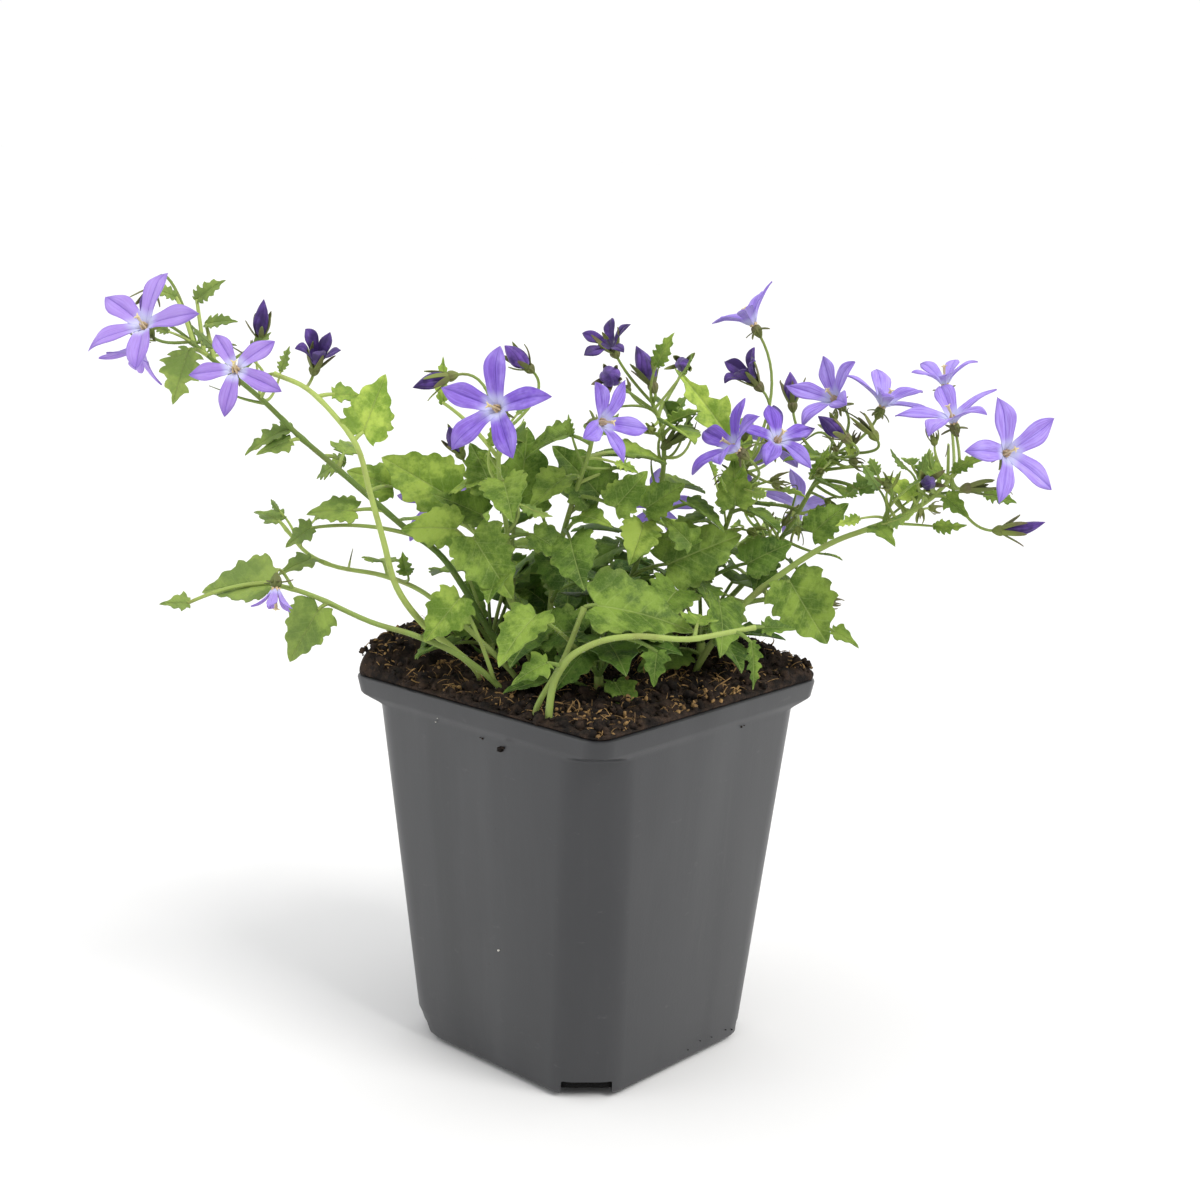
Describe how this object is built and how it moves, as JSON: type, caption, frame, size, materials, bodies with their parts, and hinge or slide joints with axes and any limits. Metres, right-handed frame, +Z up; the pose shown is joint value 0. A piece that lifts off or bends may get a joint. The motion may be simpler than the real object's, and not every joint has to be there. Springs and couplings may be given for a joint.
{
  "type": "potted bellflower",
  "caption": "Square black nursery pot filled with peat soil, holding a low spreading bellflower with toothed leaves, lilac star flowers and violet buds on thin arching stems.",
  "frame": {"origin": "the middle of the pot's underside, on the plane it stands on", "axes": "+Z is up; +X and +Y run square to the pot's walls, so the corner between -X and -Y faces the front of the plant"},
  "size_m": [0.1881, 0.1896, 0.2054],
  "materials": {
    "pot": "moulded dark grey plastic, slightly scuffed",
    "soil": "loose dark peat with fibres",
    "foliage": "matte green leaves and stems",
    "petals": "soft lilac petals",
    "buds": "satin dark violet buds"
  },
  "bodies": {
    "root": {"pot": "pot", "soil": "soil", "stem_left_arch": "foliage", "stem_left_long": "foliage", "stem_left_low": "foliage", "stem_left_mid": "foliage", "stem_front_runner": "foliage", "stem_front_leaf": "foliage", "stem_centre_left": "foliage", "stem_centre": "foliage", "stem_centre_right": "foliage", "stem_right_centre": "foliage", "stem_right_upper": "foliage", "stem_right_long": "foliage", "stem_right_low": "foliage", "stem_back_left": "foliage", "stem_back": "foliage", "stem_back_right": "foliage", "tuft_left": "foliage", "tuft_front": "foliage", "tuft_right": "foliage", "tuft_back": "foliage", "bloom_left_2": "petals", "bloom_left_1": "petals", "bloom_left_behind": "petals", "bloom_left_small": "petals", "bloom_centre_left": "petals", "bloom_centre": "petals", "bloom_right_1": "petals", "bloom_right_2": "petals", "bloom_right_3": "petals", "bloom_right_high": "petals", "bloom_right_4": "petals", "bloom_right_5": "petals", "bloom_right_6": "petals", "bloom_right_7": "petals", "bloom_right_8": "petals", "bloom_back_left": "petals", "bloom_back": "petals", "bloom_back_right": "petals", "bud_left_3": "buds", "bud_left_1": "buds", "bud_left_2": "buds", "bud_centre_1": "buds", "bud_centre_2": "buds", "bud_centre_3": "buds", "bud_centre_4": "buds", "bud_centre_5": "buds", "bud_centre_6": "buds", "bud_centre_7": "buds", "bud_right_1": "buds", "bud_right_2": "buds", "bud_right_3": "buds", "bud_right_4": "buds", "bud_right_5": "buds", "bud_back_left": "buds", "bud_back_right": "buds"}
  },
  "joints": []
}
